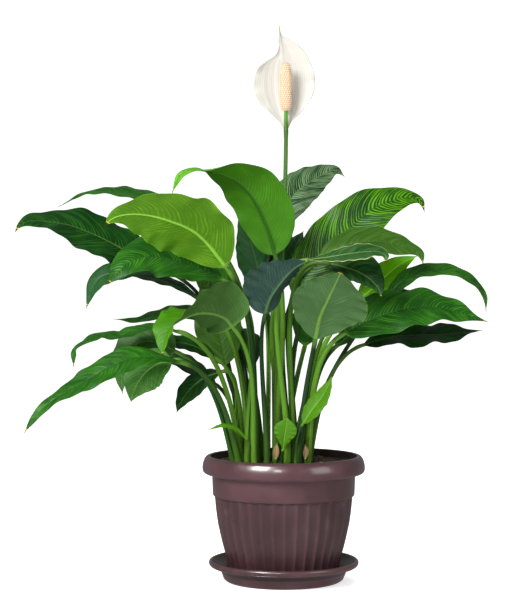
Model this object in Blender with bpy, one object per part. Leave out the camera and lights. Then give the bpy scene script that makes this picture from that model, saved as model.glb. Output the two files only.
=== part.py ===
"""A potted peace lily: fluted plastic pot on a saucer, soil, a clump of leaves and one white flower.

Metres, +Z up.  The origin is the centre of the saucer's flat underside; the flower faces -Y.
The tables below are written in millimetres and multiplied by MM.  Every leaf is one grown piece,
stalk and blade together, lofted along a smooth line from its foot on the soil to its tip.
"""
import math

import bmesh
import bpy
import numpy as np

MM = 0.001
GAP = 0.3                    # clearance between pieces that rest on each other

SAUCER_FOOT_R = 73.0
SAUCER_LIP_R = 96.6
SAUCER_MOUTH_R = 92.0
SAUCER_HEIGHT = 27.0
SAUCER_FLOOR = 3.7           # thickness of the floor under the pot

POT_BOTTOM = 4.0
POT_TOP = 161.4
POT_RIM_R = 105.0
POT_MOUTH_R = 94.5
POT_FLUTES = 36
FLUTE_DEPTH = 1.5
SPIN_STEPS = 72              # two to a flute

SOIL_TOP = 152.0
SOIL_DOME = 1.5              # how much higher the middle of the soil is than its edge

RING = 8                     # points around a leaf's section
STALK_STEPS = 6
BLADE_STEPS = 10
BLADE_HALF = 0.45            # half the thickness of a blade
RIB_HALF = 0.9               # half the thickness at the midrib
TIP_HALF = 0.25


def clear_scene():
    for item in list(bpy.data.objects):
        bpy.data.objects.remove(item, do_unlink=True)


def material(name, colour, roughness, metallic=0.0):
    made = bpy.data.materials.new(name)
    made.use_nodes = True
    shader = made.node_tree.nodes["Principled BSDF"]
    shader.inputs["Base Color"].default_value = (*colour, 1.0)
    shader.inputs["Roughness"].default_value = roughness
    shader.inputs["Metallic"].default_value = metallic
    return made


def add_piece(name, points, faces, colour, roughness):
    """One closed body from points in millimetres; its faces are turned to look outward."""
    mesh = bpy.data.meshes.new(name)
    mesh.from_pydata((np.asarray(points) * MM).tolist(), [], [list(map(int, f)) for f in faces])
    shape = bmesh.new()
    shape.from_mesh(mesh)
    bmesh.ops.triangulate(shape, faces=shape.faces[:])
    bmesh.ops.recalc_face_normals(shape, faces=shape.faces[:])
    if shape.calc_volume(signed=True) < 0.0:
        bmesh.ops.reverse_faces(shape, faces=shape.faces[:])
    shape.to_mesh(mesh)
    shape.free()
    mesh.materials.append(material(name, colour, roughness))
    piece = bpy.data.objects.new(name, mesh)
    bpy.context.scene.collection.objects.link(piece)
    return piece


def spun(name, section, colour, roughness, steps=SPIN_STEPS, flutes=None):
    """A section of (radius, height) points turned about the Z axis; its ends lie on the axis."""
    points = [(0.0, 0.0, section[0][1])]
    rows = []
    turn = np.arange(steps) * 2.0 * math.pi / steps
    for number, (radius, height) in enumerate(section[1:-1]):
        around = np.full(steps, float(radius))
        if flutes is not None and flutes[number]:
            around[1::2] -= flutes[number]
        rows.append(len(points) + np.arange(steps))
        points += list(zip(around * np.cos(turn), around * np.sin(turn), np.full(steps, float(height))))
    last = len(points)
    points.append((0.0, 0.0, section[-1][1]))
    faces = []
    for a, b in zip(rows[0], np.roll(rows[0], -1)):
        faces.append((0, b, a))
    for low, high in zip(rows[:-1], rows[1:]):
        for a, b, c, d in zip(low, np.roll(low, -1), np.roll(high, -1), high):
            faces.append((a, b, c, d))
    for a, b in zip(rows[-1], np.roll(rows[-1], -1)):
        faces.append((last, a, b))
    return add_piece(name, points, faces, colour, roughness)


def smooth_line(knots, count):
    """count + 1 points at even steps along a Catmull-Rom curve through the knots."""
    p = np.asarray(knots, float)
    p = np.vstack([2 * p[0] - p[1], p, 2 * p[-1] - p[-2]])
    t = np.linspace(0.0, 1.0, 24, endpoint=False)[:, None]
    pieces = []
    for a, b, c, d in zip(p[:-3], p[1:-2], p[2:-1], p[3:]):
        before, within, after = (max(np.linalg.norm(v), 1e-6) ** 0.5 for v in (b - a, c - b, d - c))
        leave = ((b - a) / before - (c - a) / (before + within) + (c - b) / within) * within
        arrive = ((c - b) / within - (d - b) / (within + after) + (d - c) / after) * within
        pieces.append((2 * t**3 - 3 * t**2 + 1) * b + (t**3 - 2 * t**2 + t) * leave
                      + (3 * t**2 - 2 * t**3) * c + (t**3 - t**2) * arrive)
    return even_steps(np.vstack(pieces + [p[-2][None]]), count)


def even_steps(line, count):
    """The line sampled again at count + 1 points, evenly along its length."""
    reach = np.concatenate([[0.0], np.cumsum(np.linalg.norm(np.diff(line, axis=0), axis=1))])
    at = np.linspace(0.0, reach[-1], count + 1)
    return np.stack([np.interp(at, reach, line[:, k]) for k in range(3)], axis=1)


def stalk_line(foot, base, arrive, lean, pull, count):
    """A stalk rising from its foot and running into the blade's first direction, base left out."""
    reach = np.linalg.norm(base - foot)
    a = foot + unit(lean) * reach * pull[0]
    b = base - arrive * reach * pull[1]
    t = np.linspace(0.0, 1.0, 120)[:, None]
    line = (1 - t)**3 * foot + 3 * (1 - t)**2 * t * a + 3 * (1 - t) * t**2 * b + t**3 * base
    return even_steps(line, count)[:-1]


def unit(vector):
    return vector / np.linalg.norm(vector, axis=-1, keepdims=True)


def carried_back(tangents, normal):
    """Normals down the stalk, each carried from the one above without twist."""
    kept = [normal]
    for above, here in zip(tangents[::-1][:-1], tangents[::-1][1:]):
        axis = np.cross(above, here)
        turned = kept[-1] + np.cross(axis, kept[-1])
        kept.append(unit(turned - (turned @ here) * here))
    return np.array(kept[::-1])


def leaf(name, foot, rib, width, face, colour=(0.05, 0.22, 0.04), fold=12.0, curl=-18.0,
         stalk=(4.2, 2.3), belly=0.8,
         skew=0.0, lean=None, pull=(0.40, 0.30), wave=0.0, waves=3.0, phase=0.0, roughness=0.45):
    """A stalk and blade in one piece.

    foot: (x, y) on the soil; rib: points along the midrib from the blade's base to its tip;
    face: the way the upper side looks, one vector or several spread from base to tip;
    fold: how far each half of the blade is raised about the midrib; curl: how it bends outward;
    belly: larger puts the widest place nearer the tip; skew: how much wider the half on the +side is.
    """
    start = np.array([foot[0], foot[1], SOIL_TOP + SOIL_DOME + GAP])
    rib = np.asarray(rib, float)
    fine = smooth_line(rib, 200)
    blade = smooth_line(rib, BLADE_STEPS)
    rise = rib[0] - start
    if lean is None:
        lean = (rise[0] * 0.35, rise[1] * 0.35, rise[2])
    lower = stalk_line(start, rib[0], unit(fine[2] - fine[0]), np.asarray(lean, float), pull, STALK_STEPS)
    path = np.vstack([lower, blade])
    along = unit(np.gradient(path, axis=0))
    u = np.linspace(0.0, 1.0, BLADE_STEPS + 1)
    faces_to = np.atleast_2d(np.asarray(face, float))
    knots = np.linspace(0.0, 1.0, len(faces_to))
    up = np.stack([np.interp(u, knots, faces_to[:, k]) for k in range(3)], axis=1)
    on_blade = along[STALK_STEPS:]
    up = unit(up - (up * on_blade).sum(axis=1, keepdims=True) * on_blade)
    up = np.vstack([carried_back(along[:STALK_STEPS + 1], up[0])[:-1], up])
    side = np.cross(up, along)
    climb = np.concatenate([np.linspace(0.0, 1.0, STALK_STEPS, endpoint=False), np.ones(len(u))])
    radius = stalk[0] + (stalk[1] - stalk[0]) * climb**0.6
    out = np.concatenate([np.zeros(STALK_STEPS), u])
    broad = 0.5 * width * np.sin(math.pi * out**belly)**0.72 * (1.0 - out**5)**0.6
    half = np.where(out > 0.0, np.maximum(broad, TIP_HALF + stalk[1] * (1.0 - out)), radius)
    settle = np.clip(out / 0.12, 0.0, 1.0)
    thin = radius + (BLADE_HALF - radius) * settle
    thick = radius + (RIB_HALF - radius) * settle
    taper = np.clip((1.0 - out) / 0.08, 0.3, 1.0)
    ruffle = wave * np.sin(math.pi * out) ** 0.5 * np.sin(2.0 * math.pi * waves * out + phase)
    points = blade_rings(path, side, up, half, thin * taper, thick * taper,
                         np.radians(fold) * settle, np.radians(curl) * settle, ruffle, skew * settle)
    points[0, :, 2] = start[2]
    return lofted(name, points, colour, roughness)


def blade_rings(path, side, up, half, thin, thick, bend, roll, ruffle, skew):
    """Flat rings about the path: each half raised by bend at the midrib and rolled on by roll at its edge."""
    roll = np.where(np.abs(roll) < 1e-3, 1e-3, roll)[:, None]
    bend = bend[:, None]
    turn = 2.0 * math.pi * np.arange(RING) / RING
    v = np.cos(turn)[None]
    far = np.abs(v)
    scale = half[:, None] / roll * (1.0 + skew[:, None] * np.sign(v))
    across = np.sign(v) * scale * (np.sin(bend + roll * far) - np.sin(bend))
    lift = scale * (np.cos(bend) - np.cos(bend + roll * far)) + ruffle[:, None] * np.sign(v) * far**2
    lift = lift + np.where(far < 0.1, thick[:, None], thin[:, None]) * np.sin(turn)[None]
    return path[:, None] + across[..., None] * side[:, None] + lift[..., None] * up[:, None]


def lofted(name, points, colour, roughness):
    """Rings of points joined one to the next, with a flat cap on each end."""
    rings, around = points.shape[:2]
    index = np.arange(rings * around).reshape(rings, around)
    faces = [tuple(index[0][::-1]), tuple(index[-1])]
    for low, high in zip(index[:-1], index[1:]):
        faces += list(zip(low, np.roll(low, -1), np.roll(high, -1), high))
    return add_piece(name, points.reshape(-1, 3), faces, colour, roughness)


def spathe(name, rib, widths, face, colour, fold, curl):
    """The white sheet of the flower: widths are its half-widths at even steps from base to tip."""
    count = 14
    path = smooth_line(rib, count)
    along = unit(np.gradient(path, axis=0))
    up = np.asarray(face, float)
    up = unit(up - (along @ up)[:, None] * along)
    side = np.cross(up, along)
    steps = np.linspace(0.0, 1.0, count + 1)
    knots = np.linspace(0.0, 1.0, len(widths))
    half = np.interp(steps, knots, widths)
    flat = np.full(count + 1, BLADE_HALF)
    points = blade_rings(path, side, up, half, flat, flat * 1.4, np.radians(np.full(count + 1, fold)),
                         np.radians(np.full(count + 1, curl)), np.zeros(count + 1), np.zeros(count + 1))
    return lofted(name, points, colour, 0.5)


def rod(name, line, radii, colour, roughness, around=10, count=16):
    """A round stem through the points of line; radii is one value per even step along it."""
    path = smooth_line(line, count)
    along = unit(np.gradient(path, axis=0))
    up = np.array([0.0, 1.0, 0.0]) - along * along[:, 1:2]
    up = unit(up)
    side = np.cross(up, along)
    radius = np.interp(np.linspace(0.0, 1.0, count + 1), np.linspace(0.0, 1.0, len(radii)), radii)
    turn = 2.0 * math.pi * np.arange(around) / around
    points = (path[:, None] + (radius[:, None] * np.cos(turn))[..., None] * side[:, None]
              + (radius[:, None] * np.sin(turn))[..., None] * up[:, None])
    points[0, :, 2] = path[0, 2]
    return lofted(name, points, colour, roughness)


clear_scene()

PLUM = (0.115, 0.062, 0.071)
spun("saucer", [
    (0.0, 0.0), (SAUCER_FOOT_R, 0.0), (76.0, 2.0), (79.5, 7.0), (82.0, 13.5), (88.0, 17.5), (94.5, 19.0),
    (SAUCER_LIP_R, 22.0), (SAUCER_LIP_R, 24.5), (95.2, SAUCER_HEIGHT), (93.2, SAUCER_HEIGHT),
    (SAUCER_MOUTH_R, 25.5), (88.5, 21.0), (80.0, 15.5), (77.0, 8.0), (73.5, SAUCER_FLOOR),
    (0.0, SAUCER_FLOOR)], PLUM, 0.35)

pot_section = [
    (0.0, POT_BOTTOM), (62.0, POT_BOTTOM), (66.5, POT_BOTTOM + 0.5), (70.5, 18.0), (76.0, 39.0),
    (79.9, 54.0), (84.4, 74.0), (86.9, 93.0), (88.6, 108.0), (91.5, 112.0), (92.4, 138.4), (100.5, 138.8),
    (103.6, 141.0), (POT_RIM_R, 145.0), (POT_RIM_R, 153.0), (102.0, 158.5), (98.0, POT_TOP),
    (POT_MOUTH_R, POT_TOP), (POT_MOUTH_R - 0.3, 140.0), (88.8, 136.0), (88.0, 113.0), (84.6, 103.0),
    (82.5, 82.0), (76.5, 54.0), (70.0, 30.0), (63.5, POT_BOTTOM + 3.0), (0.0, POT_BOTTOM + 3.0)]
pot_flutes = [0.0] + [FLUTE_DEPTH] * 7 + [0.0] * 17
spun("pot", pot_section, PLUM, 0.32, flutes=pot_flutes)

spun("soil", [
    (0.0, POT_BOTTOM + 3.0 + GAP), (63.0, POT_BOTTOM + 3.0 + GAP), (69.5, 30.0), (76.0, 54.0), (82.0, 82.0),
    (84.1, 103.0), (87.4, 113.0), (88.3, 136.3), (93.8, 140.4), (93.8, SOIL_TOP - 1.0), (88.0, SOIL_TOP),
    (70.0, SOIL_TOP + SOIL_DOME), (0.0, SOIL_TOP + SOIL_DOME)], (0.018, 0.014, 0.011), 0.95, steps=48)

BRIGHT = (0.10, 0.30, 0.03)
MID = (0.045, 0.19, 0.035)
DARK = (0.012, 0.075, 0.025)
GREY = (0.07, 0.15, 0.10)
OLIVE = (0.09, 0.16, 0.03)

# Leaves to the left, the nearest first.
leaf("leaf_left_low_long", (-57, -15), [(-130, -50, 284), (-162, -60, 291), (-191, -68, 290), (-215, -75, 281),
     (-239, -82, 268), (-264, -86, 253), (-288, -90, 239), (-303, -90, 226), (-315, -90, 211), (-324, -90, 197)],
     40, [(0, -0.4, 0.9), (0, -0.6, 0.8), (-0.1, -0.8, 0.5), (0, -0.35, 0.9), (-0.2, -0.7, 0.6), (-0.3, -0.8, 0.5)],
     MID, wave=3)
leaf("leaf_left_middle", (-46, -15), [(-78, -2, 388), (-110, -6, 404), (-148, -14, 415), (-179, -24, 417),
     (-201, -34, 407), (-215, -40, 392), (-223, -44, 382)], 76, (0.05, -0.68, 0.72), MID, wave=3, belly=1.0)
leaf("leaf_left_pale", (-35, -18), [(-74, -26, 404), (-94, -36, 430), (-110, -48, 446), (-125, -58, 458),
     (-138, -66, 460), (-150, -73, 464), (-166, -80, 468), (-186, -86, 470), (-203, -90, 468), (-215, -90, 463),
     (-223, -88, 455)], 106, [(0.35, 0.85, 0.25), (0.25, 0.85, 0.35), (0.1, 0.58, 0.74), (0, 0.6, 0.6)], BRIGHT,
     fold=6, belly=0.88, skew=0.06)
leaf("leaf_left_front", (-38, -36), [(-65, -63, 329), (-74, -68, 339), (-87, -74, 345), (-105, -82, 347),
     (-120, -90, 343), (-132, -96, 337), (-144, -101, 327), (-149, -105, 313), (-150, -108, 295)], 92,
     [(0.1, 0.9, 0.35), (0, 0.75, 0.55), (0, 0.35, 0.9), (-0.1, -0.1, 1), (-0.4, -0.6, 0.6), (-0.6, -0.7, 0.3)],
     GREY, fold=34, belly=0.54)
leaf("leaf_left_level", (-53, -5), [(-134, -25, 322), (-156, -30, 328), (-183, -30, 325), (-209, -35, 317),
     (-234, -35, 317), (-252, -40, 309), (-265, -40, 300), (-267, -40, 277)], 38, (0, -0.25, 1), MID)
leaf("leaf_left_hanging", (-64, -5), [(-143, -30, 285), (-160, -30, 281), (-175, -30, 271), (-186, -30, 257),
     (-192, -30, 244), (-195, -30, 232)], 56, (-0.1, -0.85, 0.45), MID)
leaf("leaf_left_small", (-46, -40), [(-49, -42, 188), (-61, -44, 199), (-77, -46, 204), (-97, -46, 198)],
     13, (0, -0.4, 0.9), BRIGHT, stalk=(2.0, 1.2))
leaf("leaf_left_grey", (-42, -2), [(-108, 8, 362), (-135, 10, 379), (-163, 10, 389), (-192, 10, 394),
     (-218, 12, 396), (-237, 14, 391), (-247, 16, 379), (-252, 18, 365), (-256, 18, 350)], 46,
     [(0, -0.45, 0.9), (0, -0.3, 0.9), (0, -0.2, 0.9), (-0.4, -0.75, 0.5), (-0.4, -0.9, 0.2)], GREY, belly=1.1)
leaf("leaf_left_short", (-50, 6), [(-89, 21, 286), (-115, 21, 301), (-154, 25, 308), (-188, 26, 302)],
     36, (0, -0.45, 0.9), DARK)
leaf("leaf_left_droop", (-62, 6), [(-141, 6, 296), (-168, 2, 308), (-189, 0, 305), (-204, 0, 288),
     (-209, 0, 264), (-208, 0, 240)], 54, (-0.3, -0.8, 0.5), OLIVE, belly=0.62)
leaf("leaf_left_upright", (-41, 18), [(-76, 38, 276), (-84, 40, 318), (-90, 40, 346), (-97, 40, 372),
     (-107, 40, 398)], 62, (0, -0.85, 0.4), OLIVE)
leaf("leaf_left_inner", (-62, 17), [(-82, 32, 267), (-103, 34, 259), (-123, 36, 243), (-134, 36, 227),
     (-140, 36, 213)], 38, (-0.3, -0.7, 0.6), DARK, belly=1.0)
leaf("leaf_left_tip", (-42, 38), [(-90, 76, 328), (-127, 78, 343), (-169, 78, 340), (-196, 78, 333),
     (-226, 78, 335)], 46, (0, -0.38, 1), MID, belly=0.62)
leaf("leaf_left_broad", (-52, 28), [(-148, 62, 396), (-170, 62, 406), (-198, 60, 419), (-219, 58, 432),
     (-249, 54, 447), (-281, 46, 459), (-312, 38, 464), (-331, 30, 464), (-343, 24, 458), (-349, 20, 449)],
     78, (-0.1, -0.65, 0.75), DARK, wave=4, belly=0.95, lean=(-34, 36, 242))
leaf("leaf_left_high", (-32, 24), [(-103, 70, 447), (-156, 70, 490), (-188, 72, 499), (-224, 75, 505),
     (-263, 85, 502), (-301, 90, 484)], 58, (0.05, -0.3, 1), MID)

# Leaves in the middle.
leaf("leaf_centre_tall", (-10, -6), [(-11, 0, 420), (-17, -3, 441), (-25, -8, 463), (-35, -14, 484),
     (-46, -20, 500), (-58, -27, 511), (-74, -35, 519), (-96, -43, 525), (-117, -48, 526), (-131, -50, 520),
     (-137, -51, 508), (-142, -51, 495)], 76, [(0.2, 0.95, 0.1), (0.1, 0.9, 0.4), (-0.1, 0.5, 0.8),
     (-0.4, -0.2, 0.8), (-0.6, -0.75, 0.35)], BRIGHT, skew=0.15, belly=0.66)
leaf("leaf_centre_front", (-22, -36), [(-24, -52, 346), (-18, -74, 365), (-8, -98, 381), (3, -116, 395),
     (14, -134, 405), (28, -148, 412)], 84, (-0.3, 0.54, 0.79), GREY, fold=40)
leaf("leaf_centre_blue", (-20, 34), [(-28, 60, 374), (-36, 60, 411), (-44, 60, 440), (-59, 60, 477)],
     52, (0.1, -0.6, 0.5), DARK)
leaf("leaf_centre_narrow", (-2, 26), [(-5, 50, 381), (5, 52, 408), (15, 54, 430), (27, 56, 452)],
     40, (0, -0.8, 0.4), GREY)
leaf("leaf_centre_back", (0, 44), [(-8, 66, 455), (6, 72, 488), (24, 80, 509), (48, 90, 525),
     (71, 97, 534), (84, 100, 525)], 56, (0.1, -0.75, 0.6), DARK)
leaf("leaf_young_tall", (14, -39), [(24, -40, 206), (36, -40, 224), (47, -40, 238), (55, -41, 252), (61, -41, 267)],
     30, (-0.6, -0.7, 0.4), BRIGHT, stalk=(2.2, 1.4))
leaf("leaf_young_short", (-5, -38), [(-2, -39, 172), (0, -41, 186), (2, -42, 200), (4, -42, 214)],
     31, (0, -0.9, 0.2), BRIGHT, stalk=(2.2, 1.4), belly=1.7)

# Leaves to the right, the nearest first.
leaf("leaf_right_front", (18, -27), [(40, -30, 313), (45, -54, 341), (53, -78, 362), (61, -102, 381),
     (68, -128, 399)], 98, (0.1, 0.85, 0.5), GREY, skew=0.12, belly=1.0)
leaf("leaf_right_pale_edge", (4, -24), [(28, -68, 413), (50, -78, 416), (75, -85, 420), (99, -92, 423),
     (116, -96, 423), (124, -99, 418), (123, -101, 409)], 36, (0, -0.6, 0.8), BRIGHT, belly=1.4)
leaf("leaf_right_folded", (10, -15), [(56, -48, 409), (76, -52, 404), (95, -56, 397), (109, -60, 387),
     (118, -63, 376), (121, -65, 366)], 44, (0, -0.85, 0.4), DARK, skew=0.3)
leaf("leaf_right_large", (30, -14), [(78, -20, 320), (107, -20, 335), (128, -20, 343), (148, -20, 349),
     (174, -20, 353), (199, -20, 352), (225, -20, 346), (248, -20, 338), (261, -20, 334)], 70, (0, -0.7, 0.7),
     MID, belly=0.72, wave=2.5, waves=4.0)
leaf("leaf_right_olive", (14, 0), [(44, 10, 411), (73, 5, 429), (100, 0, 436), (129, -5, 436), (155, -10, 429),
     (174, -15, 421), (178, -18, 407)], 56, (0, -0.65, 0.75), OLIVE)
leaf("leaf_right_glossy", (33, 5), [(104, 19, 303), (138, 20, 313), (171, 20, 316), (203, 20, 317),
     (229, 20, 319), (259, 20, 322)], 58, (0, -0.5, 0.85), DARK, wave=3, waves=3, belly=0.95)
leaf("leaf_right_arching", (26, 21), [(132, 24, 362), (154, 24, 385), (171, 24, 396), (203, 25, 401),
     (227, 25, 397), (249, 25, 384), (262, 25, 366), (264, 25, 346)], 34, (0.15, -0.48, 0.88), MID)
leaf("leaf_right_striped", (6, 12), [(15, 30, 366), (32, 33, 396), (58, 38, 426), (91, 45, 458), (115, 50, 479),
     (144, 55, 492), (165, 58, 496), (181, 60, 492), (187, 60, 477)], 78, (0.1, -0.8, 0.5), MID)
leaf("leaf_right_dark", (24, 30), [(94, 44, 353), (127, 44, 364), (153, 45, 370), (184, 46, 372)],
     28, (0, -0.5, 0.85), DARK)
leaf("leaf_right_small", (14, 34), [(101, 66, 361), (125, 66, 381), (143, 66, 398), (159, 66, 410),
     (178, 66, 419)], 44, (0, -0.8, 0.6), OLIVE)

# Leaves to the back.
leaf("leaf_back_left", (-34, 46), [(-60, 70, 330), (-100, 120, 400), (-130, 170, 430), (-150, 230, 420)],
     66, (0.2, -0.4, 0.9), MID)
leaf("leaf_back_middle", (-10, 56), [(-14, 90, 360), (-16, 140, 430), (-8, 185, 455), (0, 235, 440)],
     64, (0, -0.4, 0.9), MID)
leaf("leaf_back_right", (10, 46), [(30, 65, 340), (70, 120, 400), (100, 165, 420), (140, 215, 400)],
     66, (-0.2, -0.4, 0.9), MID)
leaf("leaf_back_far_right", (30, 42), [(70, 50, 300), (130, 90, 345), (180, 125, 355), (235, 150, 330)],
     60, (-0.2, -0.3, 0.9), DARK)
leaf("leaf_back_far_left", (-52, 40), [(-90, 55, 250), (-150, 95, 285), (-190, 125, 285), (-235, 150, 262)],
     50, (0.2, -0.3, 0.9), DARK)
leaf("leaf_back_low_left", (-28, 58), [(-45, 85, 270), (-60, 150, 310), (-80, 200, 315), (-95, 250, 285)],
     56, (0.1, -0.3, 0.9), DARK)
leaf("leaf_back_low_right", (2, 58), [(30, 85, 300), (45, 150, 345), (60, 205, 350), (80, 255, 320)],
     58, (-0.1, -0.3, 0.9), MID)

# Papery old sheaths among the stalks.
leaf("dry_sheath_left", (-12, -29), [(-11, -30, 160), (-10, -31, 170), (-9, -31, 180)], 8, (0, -1, 0.1),
     (0.30, 0.20, 0.10), stalk=(1.6, 1.4), roughness=0.9)
leaf("dry_sheath_right", (28, -24), [(27, -25, 160), (28, -25, 170), (27, -25, 178)], 8, (0.3, -1, 0.1),
     (0.30, 0.20, 0.10), stalk=(1.6, 1.4), roughness=0.9)

# The flower: its stalk, the white sheet behind and the rough column in front.
rod("flower_stalk", [(-12, 14, SOIL_TOP + SOIL_DOME + GAP), (-8, 16, 300), (0, 18, 450), (3, 18, 560), (3, 16, 606)],
    [3.4, 3.0, 2.8, 2.7, 2.6, 2.4], (0.10, 0.28, 0.05), 0.45)
spathe("spathe", [(3, 20.5, 582), (2, 27, 600), (0, 32, 640), (-1, 29, 672), (-4, 21, 700), (-6, 15, 718)],
       [2.5, 19, 29, 35.5, 38, 38, 36, 31, 24, 15, 7, 2.2, 0.6], (0, -1, 0.05), (0.75, 0.77, 0.72), 4, 38)
rod("spadix", [(3, 15.8, 606.4), (3, 13, 640), (2, 10, 669)], [4.0, 7.3, 7.7, 7.6, 7.0, 3.0],
    (0.62, 0.55, 0.35), 0.7, around=16, count=14)
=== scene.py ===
import math

import bpy
import numpy as np
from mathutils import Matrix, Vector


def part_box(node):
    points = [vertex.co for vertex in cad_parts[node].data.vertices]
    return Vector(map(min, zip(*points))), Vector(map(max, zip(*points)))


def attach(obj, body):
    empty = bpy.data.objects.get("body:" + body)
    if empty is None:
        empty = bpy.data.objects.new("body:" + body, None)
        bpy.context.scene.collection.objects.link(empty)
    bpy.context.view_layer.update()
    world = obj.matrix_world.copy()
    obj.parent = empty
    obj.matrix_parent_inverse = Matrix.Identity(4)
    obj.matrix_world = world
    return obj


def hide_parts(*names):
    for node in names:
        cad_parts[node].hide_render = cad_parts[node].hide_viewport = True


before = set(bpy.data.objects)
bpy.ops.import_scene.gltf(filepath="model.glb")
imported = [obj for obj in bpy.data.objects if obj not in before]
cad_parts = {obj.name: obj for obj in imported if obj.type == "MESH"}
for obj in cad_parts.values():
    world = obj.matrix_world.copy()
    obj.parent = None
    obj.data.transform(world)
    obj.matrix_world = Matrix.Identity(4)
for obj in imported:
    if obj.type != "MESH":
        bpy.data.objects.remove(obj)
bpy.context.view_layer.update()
MM = 0.001
TURN = 2.0 * math.pi

# Saucer.  An injection-moulded dish of plum-brown polypropylene with a rolled lip and a flat foot.
# It is turned from its section here; the same plastic and the same way of turning serve the pot.


class Wire:
    """A shader socket that can stand in a Python expression: each operator adds its Math node."""

    def __init__(self, finish, socket):
        self.finish = finish
        self.socket = socket

    def maths(self, operation, *values):
        return self.finish.node("ShaderNodeMath", {"operation": operation}, dict(enumerate(values)))

    def __add__(self, other):
        return self.maths("ADD", self, other)

    def __sub__(self, other):
        return self.maths("SUBTRACT", self, other)

    def __rsub__(self, other):
        return self.maths("SUBTRACT", other, self)

    def __mul__(self, other):
        return self.maths("MULTIPLY", self, other)

    def __pow__(self, other):
        return self.maths("POWER", self, other)

    __radd__ = __add__
    __rmul__ = __mul__

    def wave(self):
        """0 to 1 and back once for every whole step of the value."""
        turn = self * TURN
        return 0.5 - 0.5 * turn.maths("COSINE", turn)

    def rise(self, low, high):
        """0 below low, 1 above high, smooth between."""
        settings = {"interpolation_type": "SMOOTHSTEP"}
        return self.finish.node("ShaderNodeMapRange", settings, {0: self, 1: low, 2: high})


class Finish:
    """A material: one Principled shader, and the nodes that vary its colour, gloss and grain."""

    def __init__(self, name, roughness=0.5, coat=0.0):
        self.material = bpy.data.materials.new(name)
        self.material.use_nodes = True
        self.tree = self.material.node_tree
        self.shader = self.tree.nodes["Principled BSDF"]
        self.shader.inputs["Roughness"].default_value = roughness
        self.shader.inputs["Coat Weight"].default_value = coat

    def node(self, kind, settings=None, values=None, output=0):
        """Adds a node, sets its settings, then gives its sockets their values or links."""
        made = self.tree.nodes.new(kind)
        for name, value in (settings or {}).items():
            if name == "stops":
                ramp = made.color_ramp.elements
                for index, (place, colour) in enumerate(value):
                    stop = ramp[index] if index < 2 else ramp.new(place)
                    stop.position = place
                    stop.color = (*colour, 1.0)
            else:
                setattr(made, name, value)
        for name, value in (values or {}).items():
            if isinstance(value, Wire):
                self.tree.links.new(value.socket, made.inputs[name])
            else:
                made.inputs[name].default_value = value
        return Wire(self, made.outputs[output])

    def place(self):
        return self.node("ShaderNodeTexCoord", output="Object")

    def noise(self, scale, detail=3.0, place=None):
        return self.node("ShaderNodeTexNoise", None,
                         {"Vector": place or self.place(), "Scale": scale, "Detail": detail})

    def attribute(self, name):
        return self.node("ShaderNodeAttribute", {"attribute_name": name}, output="Fac")

    def blend(self, factor, first, second):
        """first where factor is 0, second where it is 1; both are colours or colour wires."""
        first, second = (c if isinstance(c, Wire) else (*c, 1.0) for c in (first, second))
        return self.node("ShaderNodeMix", {"data_type": "RGBA"}, {0: factor, 6: first, 7: second}, 2)

    def bright(self, colour, value):
        return self.node("ShaderNodeHueSaturation", None, {"Color": colour, "Value": value})

    def bump(self, height, depth, strength=1.0):
        """Grain of the given depth in millimetres, fed to the shader's normal."""
        normal = self.node("ShaderNodeBump", None,
                           {"Height": height, "Distance": depth * MM, "Strength": strength})
        self.put("Normal", normal)

    def put(self, socket, wire):
        self.tree.links.new(wire.socket, self.shader.inputs[socket])


def surface(name, points, loops, finish, replaces=(), attributes=None, smooth=True):
    """A piece from points in millimetres and whole-number faces (quads or triangles as rows of arrays)."""
    mesh = bpy.data.meshes.new(name)
    points = np.asarray(points, float).reshape(-1, 3) * MM
    sizes = np.concatenate([np.full(len(part), part.shape[1]) for part in loops])
    corners = np.concatenate([part.ravel() for part in loops])
    mesh.vertices.add(len(points))
    mesh.vertices.foreach_set("co", points.ravel())
    mesh.loops.add(len(corners))
    mesh.loops.foreach_set("vertex_index", corners.astype(np.int32))
    mesh.polygons.add(len(sizes))
    mesh.polygons.foreach_set("loop_start", np.concatenate([[0], np.cumsum(sizes)[:-1]]).astype(np.int32))
    mesh.polygons.foreach_set("use_smooth", np.full(len(sizes), smooth))
    mesh.update(calc_edges=True)
    for label, values in (attributes or {}).items():
        layer = mesh.attributes.new(label, "FLOAT", "POINT")
        layer.data.foreach_set("value", np.asarray(values, np.float32).ravel())
    mesh.materials.append(finish.material)
    piece = bpy.data.objects.new(name, mesh)
    bpy.context.scene.collection.objects.link(piece)
    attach(piece, "root")
    if replaces:
        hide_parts(*replaces)
    return piece


def held(value):
    """The value kept between 0 and 1."""
    return np.clip(value, 0.0, 1.0)


def grid_faces(rings, around, start=0):
    """Quads between neighbouring rings of a closed loop, facing out for rings that climb anticlockwise."""
    index = start + np.arange(rings * around).reshape(rings, around)
    low, high = index[:-1], index[1:]
    return np.stack([low, np.roll(low, -1, 1), np.roll(high, -1, 1), high], axis=-1).reshape(-1, 4)


def end_fans(rings, around, start, low_tip, high_tip):
    """Triangles that close the first ring to the point low_tip and the last ring to the point high_tip."""
    first = start + np.arange(around)
    last = first + (rings - 1) * around
    return np.vstack([np.stack([np.full(around, low_tip), np.roll(first, -1), first], 1),
                      np.stack([np.full(around, high_tip), last, np.roll(last, -1)], 1)])


CORNER_STEPS = 6
LONGEST_SIDE = 4.0


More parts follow.
